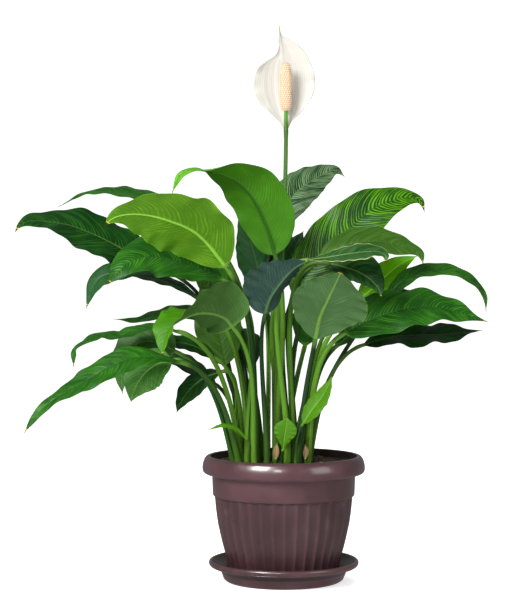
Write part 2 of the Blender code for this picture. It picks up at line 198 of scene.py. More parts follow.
def rounded(section):
    """A section of (radius, height, corner) rows: each corner becomes a parabola that starts and ends
    that far from it along its two sides, and sides over LONGEST_SIDE get points between."""
    rows = np.asarray(section, float)
    flat = rows[:, :2]
    line = [flat[:1]]
    t = np.linspace(0.0, 1.0, CORNER_STEPS)[:, None]
    for before, here, after, cut in zip(flat[:-2], flat[1:-1], flat[2:], rows[1:-1, 2]):
        back = (before - here) / np.linalg.norm(before - here) * cut
        on = (after - here) / np.linalg.norm(after - here) * cut
        line.append((1 - t)**2 * (here + back) + 2 * t * (1 - t) * here + t**2 * (here + on))
    line.append(flat[-1:])
    line = np.vstack(line)
    sides = np.linalg.norm(np.diff(line, axis=0), axis=1)
    parts = np.maximum(1, np.ceil(sides / LONGEST_SIDE)).astype(int)
    filled = [a + (b - a) * np.linspace(0, 1, n, endpoint=False)[:, None]
              for a, b, n in zip(line[:-1], line[1:], parts)]
    return np.vstack(filled + [line[-1:]])


def turned(name, section, around, finish, replaces, shape):
    """The section carried round the Z axis: (radius, height) becomes (r cos a, r sin a, height), where
    r is the first result of shape(radius, height, a) and the second is how much painted shade the surface
    gets.
    The two end rows lie on the axis and are closed to a point."""
    line = rounded(section)
    inner = line[1:-1]
    angle = np.arange(around) * TURN / around
    radius = np.repeat(inner[:, :1], around, axis=1)
    height = np.repeat(inner[:, 1:], around, axis=1)
    radius, hollow_shade = shape(radius, height, angle[None])
    rings = np.stack([radius * np.cos(angle), radius * np.sin(angle), height], axis=-1).reshape(-1, 3)
    points = np.vstack([[[0.0, 0.0, line[0, 1]]], rings, [[0.0, 0.0, line[-1, 1]]]])
    fans = end_fans(len(inner), around, 1, 0, len(points) - 1)
    hollow_shade = np.concatenate([[0.0], hollow_shade.ravel(), [0.0]])
    return surface(name, points, [grid_faces(len(inner), around, 1), fans], finish, replaces,
                   {"hollow_shade": hollow_shade})


def moulded_plastic():
    """Plum-brown polypropylene: cloudy pigment, a fine pebble from the mould, painted shade in the flutes
    and nearly black painted shade on the inner faces, and a few paler rubbed spots."""
    plastic = Finish("plum_plastic", coat=0.8)
    plastic.shader.inputs["Coat Roughness"].default_value = 0.17
    cloud = plastic.noise(14.0, 4.0)
    rub = plastic.noise(55.0, 6.0).rise(0.56, 0.74)
    hollow_shade = plastic.attribute("hollow_shade")
    colour = plastic.blend(cloud.rise(0.35, 0.7), (0.054, 0.023, 0.026), (0.082, 0.036, 0.041))
    colour = plastic.blend(rub * 0.35, colour, (0.105, 0.062, 0.064))
    # painted shade: the flutes and the inner faces of pot and saucer are darkened, the inner faces nearly to
    # black
    colour = plastic.blend(hollow_shade * 0.45, colour, (0.022, 0.01, 0.012))
    plastic.put("Base Color", colour)
    plastic.put("Roughness", 0.25 + 0.1 * cloud + 0.12 * rub + 0.08 * hollow_shade)
    plastic.bump(plastic.noise(1500.0, 2.0) + 0.6 * plastic.noise(160.0, 3.0), 0.1, 0.5)
    return plastic


plum_plastic = moulded_plastic()
saucer_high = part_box("saucer")[1]
saucer_height = saucer_high.z / MM
saucer_radius = saucer_high.x / MM
INNER_SHADE = 2.0     # how much painted shade an inner face gets: well past 1, so it goes nearly black


def dished(radius, height, angle):
    """Round as given; the inner face, above a line drawn through the middle of the wall, is marked for
    painted shade.
    """
    middle = np.interp(radius[:, 0], [0.0, 72.0, 79.0, 90.0, 94.0], [2.0, 2.0, 10.0, 20.5, 26.0])[:, None]
    return radius, np.where(height > middle, INNER_SHADE, 0.0) * held((93.2 - radius) / 1.5)


turned("saucer_dish", [
    (0, 0, 0), (68, 0, 1.5), (70, 1.2, 1), (73, 0, 1.0), (77.2, 2.5, 2), (81.5, 13.5, 4), (87, 18, 3),
    (94.0, 18.8, 2), (saucer_radius, 21.5, 1.8), (saucer_radius, 25.2, 1.5), (94.8, saucer_height, 1.2),
    (92.9, saucer_height, 0.9), (91.7, 25.4, 1.2), (88.5, 21, 3), (79.5, 14.5, 4), (76.4, 5.6, 2.5),
    (72, 3.7, 1.5), (0, 3.7, 0)], 240, plum_plastic, ["saucer"], dished)

# Pot.  Moulded in the same plastic: a thick rim with a sloping face, a plain collar under it, and below
# the collar a bulged body with shallow flutes, each a wide hollow between two narrow ridges.

FLUTES = 36
FLUTE_DEPTH = 2.0
COLLAR_FOOT = 110.5
pot_low, pot_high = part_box("pot")
rim_radius = pot_high.x / MM
rim_top = pot_high.z / MM
pot_foot = pot_low.z / MM


def fluted(radius, height, angle):
    """The outer wall below the collar is drawn in by FLUTE_DEPTH (1 - |2f - 1|^2.4), where f runs 0 to 1
    across each flute; the hollows fade out over the last millimetres at the foot and under the collar.
    The same depth marks painted shade in the flutes, and the inner face is marked for painted shade as well."""
    f = (angle * FLUTES / TURN) % 1.0
    channel = 1.0 - np.abs(2.0 * f - 1.0) ** 2.4
    wall = 66.5 + 22.4 * held((height - 4.0) / 108.0) ** 0.62
    outer = (radius > wall - 3.0) & (height > pot_foot + 0.6) & (height < COLLAR_FOOT)
    fade = held((height - pot_foot - 1.0) / 5.0)
    fade = fade * held((COLLAR_FOOT - height) / 1.5)
    drawn = np.where(outer, channel * fade, 0.0)
    inside = ((radius < 90.5) & (height > 112.0)) | ((radius < 94.8) & (height > 139.5))
    return radius - FLUTE_DEPTH * drawn, np.where(inside, INNER_SHADE, drawn)


turned("fluted_pot", [
    (0, pot_foot, 0), (63, pot_foot, 1), (66.8, pot_foot + 0.5, 2), (71.4, 18, 6), (76.6, 39, 6),
    (80.6, 54, 6), (85.0, 74, 6), (87.6, 93, 6), (89.0, 109.5, 0.6), (91.3, 110.6, 1.0),
    (91.6, 113.5, 1), (92.5, 138, 1.2),
    (99.5, 138.2, 2.5), (104.0, 140.6, 2.4), (rim_radius, 145, 2), (104.7, 149.6, 2.2),
    (103.6, 154.2, 2.2), (101.6, 158.8, 1.8), (98.8, rim_top, 1.2), (94.6, rim_top, 0.9),
    (94.3, 140.5, 3), (89.2, 136.4, 2), (88.2, 113, 3), (84.6, 103, 4), (82.5, 82, 4), (76.5, 54, 6),
    (70, 30, 6), (63.5, pot_foot + 3, 3),
    (0, pot_foot + 3, 0)], FLUTES * 12, plum_plastic, ["pot"], fluted)

# Soil.  Dark peat mix, heaped a little towards the crown, with crumbs of bark and pale grit lying on it.
# The surface is lumpy; the crumbs are one piece of many small chips.

soil_low, soil_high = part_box("soil")
soil_top = soil_high.z / MM
SOIL_RADIUS = soil_high.x / MM


def lumps(x, y, size, seed):
    """Smooth noise from -1 to 1 with lumps of the given size: random values on a square lattice,
    eased between lattice points with 3t^2 - 2t^3."""
    table = np.random.default_rng(seed).uniform(-1.0, 1.0, (128, 128))
    u, v = x / size + 64.0, y / size + 64.0
    i, j = np.floor(u).astype(int) % 127, np.floor(v).astype(int) % 127
    p, q = u - np.floor(u), v - np.floor(v)
    p, q = p * p * (3 - 2 * p), q * q * (3 - 2 * q)
    low = table[i, j] * (1 - p) + table[i + 1, j] * p
    high = table[i, j + 1] * (1 - p) + table[i + 1, j + 1] * p
    return low * (1 - q) + high * q


def soil_height(x, y):
    """The soil's top over (x, y): a low dome with lumps of three sizes."""
    dome = soil_top - 1.6 + 1.2 * np.cos(held(np.hypot(x, y) / SOIL_RADIUS) * math.pi / 2)
    return dome + 1.1 * lumps(x, y, 9.0, 3) + 0.7 * lumps(x, y, 4.0, 4) + 0.45 * lumps(x, y, 1.8, 5)


def peat():
    """Nearly black crumbly peat with brown fibres; the shade of a chip comes from its own attribute."""
    mix = Finish("peat", 0.95)
    grain = mix.noise(420.0, 8.0)
    shade = mix.attribute("shade")
    colour = mix.blend(grain.rise(0.4, 0.72), (0.01, 0.007, 0.005), (0.05, 0.032, 0.02))
    chips = mix.node("ShaderNodeValToRGB", {"stops": [
        (0.0, (0.012, 0.008, 0.006)), (1.0, (0.42, 0.3, 0.17)), (0.45, (0.055, 0.032, 0.018)),
        (0.75, (0.2, 0.115, 0.055))]}, {0: shade})
    colour = mix.blend(shade.rise(0.02, 0.1), colour, mix.blend(grain * 0.5, chips, (0.02, 0.013, 0.01)))
    mix.put("Base Color", colour)
    mix.bump(grain + 0.5 * mix.noise(1400.0, 4.0), 0.8, 0.8)
    return mix


peat_mix = peat()
ring_count, spoke_count = 96, 288
soil_r = np.linspace(0.0, 1.0, ring_count + 1)[1:, None] ** 0.8 * SOIL_RADIUS
soil_a = np.arange(spoke_count)[None] * TURN / spoke_count
soil_x, soil_y = soil_r * np.cos(soil_a), soil_r * np.sin(soil_a)
soil_z = soil_height(soil_x, soil_y)
wall_z = np.array([140.5, 136.6, 113.0, 60.0, soil_low.z / MM])
wall_r = np.array([93.6, 88.0, 87.0, 76.0, 62.0])
bank_x, bank_y = wall_r[:, None] * np.cos(soil_a), wall_r[:, None] * np.sin(soil_a)
rings = np.stack([np.vstack([soil_x, bank_x])[::-1], np.vstack([soil_y, bank_y])[::-1],
                  np.vstack([soil_z, np.repeat(wall_z[:, None], spoke_count, 1)])[::-1]], axis=-1)
centre = np.array([[0.0, 0.0, soil_low.z / MM], [0.0, 0.0, float(soil_height(np.zeros(1), np.zeros(1))[0])]])
soil_points = np.vstack([centre[:1], rings.reshape(-1, 3), centre[1:]])
caps = end_fans(len(rings), spoke_count, 1, 0, len(soil_points) - 1)
surface("soil_surface", soil_points, [grid_faces(len(rings), spoke_count, 1), caps], peat_mix,
        ["soil"], {"shade": np.zeros(len(soil_points))})

CHIPS = 900
dice = np.random.default_rng(11)
golden = (1.0 + 5.0 ** 0.5) / 2.0
ball = np.array([(-1, golden, 0), (1, golden, 0), (-1, -golden, 0), (1, -golden, 0), (0, -1, golden),
                 (0, 1, golden), (0, -1, -golden), (0, 1, -golden), (golden, 0, -1), (golden, 0, 1),
                 (-golden, 0, -1), (-golden, 0, 1)]) / 1.9
ball_faces = np.array([(0, 11, 5), (0, 5, 1), (0, 1, 7), (0, 7, 10), (0, 10, 11), (1, 5, 9), (5, 11, 4),
                       (11, 10, 2), (10, 7, 6), (7, 1, 8), (3, 9, 4), (3, 4, 2), (3, 2, 6), (3, 6, 8),
                       (3, 8, 9), (4, 9, 5), (2, 4, 11), (6, 2, 10), (8, 6, 7), (9, 8, 1)])
chip_r = SOIL_RADIUS * 0.965 * dice.uniform(0, 1, CHIPS) ** 0.45
chip_a = dice.uniform(0, TURN, CHIPS)
chip_x, chip_y = chip_r * np.cos(chip_a), chip_r * np.sin(chip_a)
chip_size = 0.55 + 1.5 * dice.uniform(0, 1, CHIPS) ** 3
chip_form = dice.uniform(0.6, 1.35, (CHIPS, 12, 1))
chip_form = chip_form * dice.uniform((0.6, 0.6, 0.35), (1.6, 1.2, 0.8), (CHIPS, 3))[:, None]
chip_turn = dice.uniform(0, TURN, CHIPS)[:, None]
body = ball[None] * chip_form * chip_size[:, None, None]
turned_x = body[..., 0] * np.cos(chip_turn) - body[..., 1] * np.sin(chip_turn)
turned_y = body[..., 0] * np.sin(chip_turn) + body[..., 1] * np.cos(chip_turn)
chip_z = soil_height(chip_x, chip_y) + 0.25 * chip_size
chips = np.stack([turned_x + chip_x[:, None], turned_y + chip_y[:, None], body[..., 2] + chip_z[:, None]], -1)
chip_shade = np.repeat(0.12 + 0.88 * dice.uniform(0, 1, CHIPS) ** 2.2, 12)
chip_faces = (ball_faces[None] + 12 * np.arange(CHIPS)[:, None, None]).reshape(-1, 3)
surface("soil_crumbs", chips, [chip_faces], peat_mix, (), {"shade": chip_shade}, smooth=False)

# Leaves.  Each is one grown piece: a channelled green stalk that rises from the crown, a paler joint
# under the blade, and a thin glossy blade with a raised midrib below, arched side veins, a wavy edge
# and a drip tip.


def unit(vectors):
    return vectors / np.linalg.norm(vectors, axis=-1, keepdims=True)


def even_steps(line, count):
    """The line sampled again at count + 1 points, evenly along its length."""
    reach = np.concatenate([[0.0], np.cumsum(np.linalg.norm(np.diff(line, axis=0), axis=1))])
    at = np.linspace(0.0, reach[-1], count + 1)
    return np.stack([np.interp(at, reach, line[:, k]) for k in range(line.shape[1])], axis=1)


def smooth_line(knots, count):
    """count + 1 even points along a Catmull-Rom curve: each stretch is the cubic that passes through its
    two knots with the slopes of the parabolas through their neighbours, spaced by root distance."""
    p = np.asarray(knots, float)
    p = np.vstack([2 * p[0] - p[1], p, 2 * p[-1] - p[-2]])
    t = np.linspace(0.0, 1.0, 40, endpoint=False)[:, None]
    pieces = []
    for a, b, c, d in zip(p[:-3], p[1:-2], p[2:-1], p[3:]):
        before, within, after = (max(np.linalg.norm(v), 1e-6) ** 0.5 for v in (b - a, c - b, d - c))
        leave = ((b - a) / before - (c - a) / (before + within) + (c - b) / within) * within
        arrive = ((c - b) / within - (d - b) / (within + after) + (d - c) / after) * within
        pieces.append((2 * t**3 - 3 * t**2 + 1) * b + (t**3 - 2 * t**2 + t) * leave
                      + (3 * t**2 - 2 * t**3) * c + (t**3 - t**2) * arrive)
    return even_steps(np.vstack(pieces + [p[-2][None]]), count)


STALK_STEPS = 40
LEAVING_PULL, ARRIVING_PULL = 0.4, 0.3     # shares of the stalk's reach


def stalk_line(foot, base, arrive, lean):
    """A cubic Bezier curve from the foot, leaving along lean, to the blade's base, arriving along arrive."""
    reach = np.linalg.norm(base - foot)
    a = foot + unit(lean) * reach * LEAVING_PULL
    b = base - arrive * reach * ARRIVING_PULL
    t = np.linspace(0.0, 1.0, 200)[:, None]
    line = (1 - t)**3 * foot + 3 * (1 - t)**2 * t * a + 3 * (1 - t) * t**2 * b + t**3 * base
    return even_steps(line, STALK_STEPS)[:-1]


def carried_back(tangents, normal):
    """Normals down the stalk, each the one above turned by the least turn between their tangents."""
    kept = [normal]
    for above, here in zip(tangents[::-1][:-1], tangents[::-1][1:]):
        axis = np.cross(above, here)
        turned_on = kept[-1] + np.cross(axis, kept[-1])
        kept.append(unit(turned_on - (turned_on @ here) * here))
    return np.array(kept[::-1])


def closed_rings(name, points, ends, marks, finish, replaces, tip=None):
    """Rings of points closed at both ends to the two middle points in ends.  The marks vary over the
    surface; at a middle point they are tip or, where none is given, what the ring's first point has."""
    rings, around = points.shape[:2]
    total = rings * around
    marks = {label: np.concatenate([value.ravel(), value[[0, -1], 0] if tip is None else [tip, tip]])
             for label, value in marks.items()}
    faces = [grid_faces(rings, around), end_fans(rings, around, 0, total, total + 1)]
    return surface(name, np.vstack([points.reshape(-1, 3), ends]), faces, finish, replaces, marks)


ACROSS = 45                 # points from edge to edge on each side of a blade
BLADE_STEPS = 120
BLADE_HALF = 0.24           # half the thickness of a blade at its edge
BLADE_CURL = -18.0          # degrees
VEIN_RELIEF = 0.17
VEIN_SPACING, WIDTH_SHARE = 2.8, 0.065
FOOT_DEPTH = 2.5            # how far a stalk goes into the soil
FULL_STALK = (5.0, 2.8)     # radius at the foot and at the blade
SLIM_STALK = (4.2, 2.3)     # for stalks that pass close to another leaf
grown = []


def leaf(name, foot, rib, width, face, finish, fold=12.0, stalk=FULL_STALK, belly=0.8,
         skew=0.0, lean=None, wave=0.0, waves=3.0, dry=0.018, tint_and_light=0.0):
    """A stalk and blade along one line: foot, stalk curve, then the rib's points from base to tip.

    Across the line at each step v runs -1 to 1.  The half-width is the stalk's radius, then
    width/2 sin(pi s^belly)^0.72 (1 - s^5)^0.6 over the blade's length s.  Each half is raised by fold at the
    rib and bent on by BLADE_CURL along an arc.  The stalk's section is a circle with a channel on its upper
    side; the blade's is a thin lens with a half-round rib below and a groove above.  A side vein leaves the
    rib at s0 and runs along s = s0 + x/2 + x^2/half-width; the blade rises and falls by VEIN_RELIEF across
    the veins, and its edge ruffles up and down.
    """
    number = len(grown) + 1
    dice = np.random.default_rng(100 + number)
    start = np.array([foot[0], foot[1], soil_top - FOOT_DEPTH])
    rib = np.asarray(rib, float)
    blade = smooth_line(rib, BLADE_STEPS)
    length = np.linalg.norm(np.diff(blade, axis=0), axis=1).sum()
    rise = rib[0] - start
    lean = (rise[0] * 0.35, rise[1] * 0.35, rise[2]) if lean is None else lean
    lower = stalk_line(start, rib[0], unit(blade[1] - blade[0]), np.asarray(lean, float))
    path = np.vstack([lower, blade])
    along = unit(np.gradient(path, axis=0))
    steps = np.linspace(0.0, 1.0, BLADE_STEPS + 1)
    ways = np.atleast_2d(np.asarray(face, float))
    knots = np.linspace(0.0, 1.0, len(ways))
    up = np.stack([np.interp(steps, knots, ways[:, k]) for k in range(3)], axis=1)
    up = unit(up - (up * along[STALK_STEPS:]).sum(axis=1, keepdims=True) * along[STALK_STEPS:])
    up = np.vstack([carried_back(along[:STALK_STEPS + 1], up[0])[:-1], up])
    side = np.cross(up, along)

    s = np.concatenate([np.zeros(STALK_STEPS), steps])[:, None]
    climb = np.linspace(0.0, 1.0, STALK_STEPS, endpoint=False)
    climb = np.concatenate([climb, np.ones(BLADE_STEPS + 1)])[:, None]
    radius = stalk[0] + (stalk[1] - stalk[0]) * climb**0.6
    joint = np.exp(-((climb - 0.955) / 0.03) ** 2) * (s == 0.0)
    radius = radius * (1.0 + 0.16 * joint)
    t = np.linspace(-1.0, 1.0, ACROSS)
    t = t - 0.8 * np.sin(TURN * t) / TURN
    v = np.concatenate([t[::-1], t[1:-1]])[None]
    above = np.concatenate([np.ones(ACROSS), np.zeros(ACROSS - 2)])[None]
    far = np.abs(v)
    round_off = np.sqrt(np.maximum(1.0 - v**2, 0.0))
    settle = held(s / 0.12)
    leave = held(s / 0.035)
    leave = leave * leave * (3 - 2 * leave)
    broad = 0.5 * width * np.sin(math.pi * s**belly)**0.72 * (1.0 - s**5)**0.6
    half = np.where(s > 0.0, np.maximum(broad, 0.35 + stalk[1] * (1.0 - s)), radius)
    half = half * (1.0 + 0.018 * np.sin(23.0 * s + number) * settle)
    bend = np.radians(fold) * settle
    roll = np.radians(BLADE_CURL) * settle
    roll = np.where(np.abs(roll) < 1e-3, 1e-3, roll)
    reach = half / roll * (1.0 + skew * settle * np.sign(v))
    x = np.sign(v) * reach * (np.sin(bend + roll * far) - np.sin(bend))
    lift = reach * (np.cos(bend) - np.cos(bend + roll * far))

    wide = half * far
    spacing = max(VEIN_SPACING, WIDTH_SHARE * width)
    wander = (1.2 * np.sin(s * length / 17.0 + number)
              + 1.6 * lumps(s * length, wide * np.sign(v), 14.0, number))
    vein = (s * length - 0.5 * wide - wide**2 / np.maximum(half, 1.0) + wander) / spacing
    window = (held(far * 4.0) * held((1 - far) * 5.0) * held(s * 12)
              * held((1 - s) * 8))
    uneven = 0.55 + 0.45 * lumps(vein, np.sign(v) * (1.5 + far), 1.1, 200 + number)
    pleat = 1.6 * lumps(vein / 3.1, np.sign(v) * (2.0 + 1.3 * far), 1.0, 300 + number)
    relief = min(1.0, width / 50.0) * VEIN_RELIEF * window * (uneven * np.cos(TURN * vein) + pleat)
    ruffle = wave * np.sign(v) * far**2 * np.sin(math.pi * s) ** 0.5 * np.sin(TURN * waves * s)
    crimp = 0.032 * width * far**3 * np.sin(math.pi * held(s)) ** 0.7
    beat = dice.uniform(5.0, 8.0)
    crimp = crimp * (np.sin(TURN * beat * s + number + 1.7 * np.sign(v)) * 0.6
                     + 0.7 * lumps(s * 9.0, np.sign(v) + 0.0 * s, 1.0, 40 + number))
    lift = lift + relief + ruffle + crimp

    body = radius * (1 - leave) + BLADE_HALF * (0.45 + 0.55 * far) * leave
    keel = stalk[1] * (1.0 - s) ** 0.7 * 0.95 + 0.15
    under_rib = keel * np.sqrt(np.maximum(1.0 - (x / np.maximum(keel, 1e-6)) ** 2, 0.0)) * leave
    groove = 0.45 * np.exp(-(x / 1.1) ** 2) * leave * (1.0 - s)
    channel = (0.55 * radius * np.exp(-(v / 0.42) ** 2) * held((0.75 - climb) * 4)
               * held(climb * 6))
    thick = np.where(above > 0, body * round_off - groove - channel * (s == 0.0),
                     -body * round_off - under_rib)
    points = path[:, None] + x[..., None] * side[:, None] + (lift + thick)[..., None] * up[:, None]

    ends = points[[0, -1]].mean(axis=1)
    edge_dry = (held((s - 1.0 + 2.2 * dry) / max(dry, 1e-3))
                + 0.35 * dry / 0.03 * far**14 * held(s * 3 - 1.6))
    ones = np.ones_like(vein)
    rib_share = np.abs(x) / (0.4 + stalk[1] * (1.0 - s)**0.8)
    marks = {"vein": vein + 60.0 * np.sign(v), "across": far * ones, "rib": rib_share,
             "upper": above * ones, "dry": edge_dry * ones, "blade": leave * ones,
             "climb": climb * ones, "tint_and_light": tint_and_light * ones, "lot": dice.uniform(0.0, 1.0) * ones}
    grown.append(closed_rings(name + "_grown", points, ends, marks, finish,
                              [name]))


def leaf_finish(name, slot, upper, stripe, under, under_vein, rib, gloss, contrast, rib_above=None,
                edge=None):
    """Living leaf.  Streaks run along the side veins: bands about as wide as the space between two veins,
    and hairs a fifth of that.  The upper side goes from upper to stripe along them, the duller lower side
    from under to under_vein; the streaks are partly the veins' own lines and partly painted light and shade,
    highlights on the bulges between veins and shade in the furrows.  A thin strip along the edge is painted
    lighter, a painted highlight.  The rib and stalk are paler, and a dry tip goes yellow, then brown."""
    skin = Finish(name)
    skin.slot = slot
    skin.shader.inputs["Specular IOR Level"].default_value = 0.2
    vein = skin.attribute("vein")
    top = skin.attribute("upper")
    across = skin.attribute("across")
    lot = skin.attribute("lot")
    climb = skin.attribute("climb")
    along_veins = skin.node("ShaderNodeCombineXYZ", None, {0: vein, 1: across * 1.4, 2: lot * 50.0})
    shading_band = skin.noise(0.8, 2.0, along_veins)
    line = (vein + 1.3 * skin.noise(0.3, 2.0, along_veins)).wave()
    hair = skin.noise(4.5, 3.0, along_veins)
    patch = skin.noise(30.0, 4.0)
    speck = skin.noise(420.0, 3.0)
    # partly painted light and shade: the shading bands and vein lines paint highlights on the bulges between
    # veins and shade in the furrows
    ridge = (line ** 2.0) * shading_band
    streaks = (ridge + shading_band - 0.45) * contrast + (hair - 0.5) * 0.7 + (patch - 0.5) * 0.8
    face = skin.blend(streaks.rise(0.0, 0.9), upper, stripe)
    streaks = ridge * 0.6 + (hair - 0.5) * 0.9 + (patch - 0.5) * 0.8
    back = skin.blend(streaks.rise(0.0, 1.0), under, under_vein)
    rib_mark = skin.attribute("rib")
    face = skin.blend((1.0 - rib_mark.rise(0.15, 0.6)) * 0.7, face, rib_above or rib)
    back = skin.blend((1.0 - rib_mark.rise(0.5, 1.1)) * 0.9, back, rib)
    colour = skin.blend(top, back, face)
    # painted highlight: a thin strip along the edge is painted lighter, in the edge colour where one is
    # given, else partly towards the rib colour
    margin_highlight = across.rise(0.9, 0.99) if edge else across.rise(0.97, 1.0) * 0.4
    colour = skin.blend(margin_highlight, colour, edge or rib)
    # partly painted light and shade: each stalk's green is drawn at random from nearly black, painted shade,
    # to lime, painted light; the spread is partly their own tone
    stem = skin.blend(lot.rise(0.15, 0.85), (0.005, 0.03, 0.004), (0.066, 0.18, 0.008))
    pale_foot = (1.0 - climb.rise(0.0, 0.45)) * (0.1 + 0.75 * lot)
    stem = skin.blend(pale_foot, stem, (0.11, 0.25, 0.018))
    stem = skin.blend(climb.rise(0.9, 0.97) * 0.5, stem, rib)
    stem = skin.blend((speck - 0.45) * 0.5, stem, (0.02, 0.06, 0.012))
    colour = skin.blend(skin.attribute("blade"), stem, colour)
    # tint_and_light lifts or lowers a whole leaf: partly its own tone, partly painted light and shade
    colour = skin.bright(colour, 0.9 + skin.attribute("tint_and_light") + 0.22 * patch)
    dried = skin.attribute("dry") + (patch - 0.5) * 0.5 + (speck - 0.5) * 0.3
    colour = skin.blend(dried.rise(0.22, 0.5), colour, (0.5, 0.4, 0.03))
    colour = skin.blend(dried.rise(0.55, 0.8), colour, (0.06, 0.02, 0.014))
    skin.put("Base Color", colour)
    skin.put("Roughness", (1.0 - top) * 0.18 + gloss + speck * 0.08 + dried.rise(0.4, 0.9) * 0.3)
    skin.bump(ridge * 0.5 + shading_band * 0.5 + hair * 0.4 + speck * 0.2, 0.3, 0.8)
    return skin


# The leaf finishes share one recipe, and their colours were set to how each leaf looks where it stands, so
# they are partly lit and shaded copies of one leaf: bright_leaf is partly painted light shining through,
# dark_leaf partly painted shade, and the bold stripes of striped_leaf and the pale stripes of silver_leaf
# partly painted highlights; the young leaves' paler green and the sheaths' papery brown are their own.
bright_leaf = leaf_finish("bright_leaf", "leaf_bright", (0.06, 0.24, 0.004), (0.14, 0.4, 0.015),
    (0.055, 0.16, 0.003), (0.16, 0.36, 0.014), (0.19, 0.42, 0.04), 0.42, 0.9)
tall_leaf = leaf_finish("tall_leaf", "leaf_bright", (0.075, 0.29, 0.01), (0.2, 0.5, 0.05),
    (0.035, 0.15, 0.002), (0.085, 0.29, 0.008), (0.018, 0.09, 0.004), 0.42, 0.9)
young_leaf = leaf_finish("young_leaf", "leaf_bright", (0.048, 0.165, 0.001), (0.09, 0.25, 0.003),
    (0.08, 0.26, 0.006), (0.14, 0.38, 0.015), (0.16, 0.36, 0.03), 0.44, 0.5)
mid_leaf = leaf_finish("mid_leaf", "leaf_mid", (0.006, 0.06, 0.003), (0.045, 0.2, 0.01),
    (0.025, 0.085, 0.008), (0.07, 0.17, 0.025), (0.1, 0.23, 0.03), 0.4, 1.0, (0.012, 0.08, 0.006))
striped_leaf = leaf_finish("striped_leaf", "leaf_mid", (0.002, 0.034, 0.001), (0.085, 0.27, 0.003),
    (0.03, 0.11, 0.004), (0.09, 0.26, 0.012), (0.12, 0.3, 0.02), 0.4, 1.3, (0.01, 0.09, 0.004))
dark_leaf = leaf_finish("dark_leaf", "leaf_dark", (0.002, 0.026, 0.003), (0.02, 0.1, 0.01),
    (0.012, 0.045, 0.01), (0.035, 0.095, 0.025), (0.09, 0.19, 0.03), 0.36, 1.1)
silver_leaf = leaf_finish("silver_leaf", "leaf_dark", (0.003, 0.03, 0.005), (0.14, 0.24, 0.11),
    (0.02, 0.06, 0.015), (0.07, 0.14, 0.06), (0.1, 0.2, 0.06), 0.4, 1.5)
grey_leaf = leaf_finish("grey_leaf", "leaf_grey", (0.036, 0.16, 0.001), (0.08, 0.24, 0.004),
    (0.028, 0.085, 0.01), (0.07, 0.15, 0.04), (0.09, 0.2, 0.03), 0.42, 0.8)
slate_leaf = leaf_finish("slate_leaf", "leaf_grey", (0.01, 0.055, 0.012), (0.03, 0.11, 0.03),
    (0.016, 0.045, 0.034), (0.07, 0.125, 0.1), (0.05, 0.12, 0.04), 0.38, 0.8)
dusk_leaf = leaf_finish("dusk_leaf", "leaf_grey", (0.02, 0.08, 0.01), (0.06, 0.16, 0.03),
    (0.045, 0.11, 0.03), (0.095, 0.19, 0.07), (0.11, 0.24, 0.035), 0.42, 0.8)
olive_leaf = leaf_finish("olive_leaf", "leaf_olive", (0.022, 0.075, 0.006), (0.075, 0.18, 0.018),
    (0.04, 0.1, 0.012), (0.085, 0.17, 0.03), (0.12, 0.23, 0.03), 0.4, 0.9, (0.03, 0.09, 0.01))
# Its pale yellow-green edge colour is a painted highlight along the leaf's edge.
edged_leaf = leaf_finish("edged_leaf", "leaf_bright", (0.004, 0.045, 0.007), (0.06, 0.155, 0.04),
    (0.04, 0.11, 0.03), (0.12, 0.22, 0.08), (0.18, 0.3, 0.08), 0.42, 1.2, None, (0.5, 0.55, 0.2))
papery_leaf = leaf_finish("papery_leaf", "dry_sheath", (0.3, 0.19, 0.09), (0.42, 0.29, 0.15),
    (0.26, 0.16, 0.08), (0.4, 0.27, 0.14), (0.46, 0.34, 0.19), 0.6, 0.7)

# Leaves to the left, the nearest first.  Each stands on its own stalk in the soil: foot, then the rib
# from the blade's base to its tip, its width, the ways its upper side faces, and its finish.

leaf("leaf_left_low_long", (-57, -15), [(-130, -50, 284), (-162, -60, 291), (-191, -68, 290),
     (-215, -75, 281), (-239, -82, 268), (-264, -86, 253), (-288, -90, 239), (-303, -90, 226),
     (-315, -90, 211), (-324, -90, 197)], 40, [(0, -0.4, 0.9), (0, -0.6, 0.8), (-0.1, -0.8, 0.5),
     (0, -0.35, 0.9), (-0.2, -0.7, 0.6), (-0.3, -0.8, 0.5)], mid_leaf, wave=3)
leaf("leaf_left_middle", (-46, -15), [(-78, -2, 388), (-110, -6, 404), (-148, -14, 415), (-179, -24, 417),
     (-201, -34, 407), (-215, -40, 392), (-223, -44, 382)], 76, (0.05, -0.68, 0.72), mid_leaf, wave=3,
     belly=1.0)
leaf("leaf_left_pale", (-35, -18), [(-74, -26, 404), (-94, -36, 430), (-110, -48, 446), (-125, -58, 455),
     (-138, -66, 460), (-150, -73, 464), (-166, -80, 468), (-186, -86, 470), (-203, -90, 468),
     (-215, -90, 463), (-223, -88, 455)], 106, [(0.15, 0.75, 0.5), (0.1, 0.7, 0.6), (0.05, 0.64, 0.7)],
     bright_leaf, fold=6, belly=0.88, skew=0.06, tint_and_light=0.1)
leaf("leaf_left_front", (-38, -36), [(-65, -63, 329), (-74, -68, 339), (-87, -74, 345), (-105, -82, 347),
     (-120, -90, 343), (-132, -96, 337), (-144, -101, 327), (-149, -105, 313), (-150, -108, 295)], 92,
     [(0.1, 0.9, 0.35), (0, 0.75, 0.55), (0, 0.35, 0.9), (-0.1, -0.1, 1), (-0.4, -0.6, 0.6),
     (-0.6, -0.7, 0.3)], grey_leaf, fold=34, belly=0.54, stalk=SLIM_STALK)
leaf("leaf_left_level", (-53, -5), [(-134, -25, 322), (-156, -30, 328), (-183, -30, 325), (-209, -35, 317),
     (-234, -35, 317), (-252, -40, 309), (-265, -40, 300), (-267, -40, 277)], 38, (0, -0.25, 1), mid_leaf)
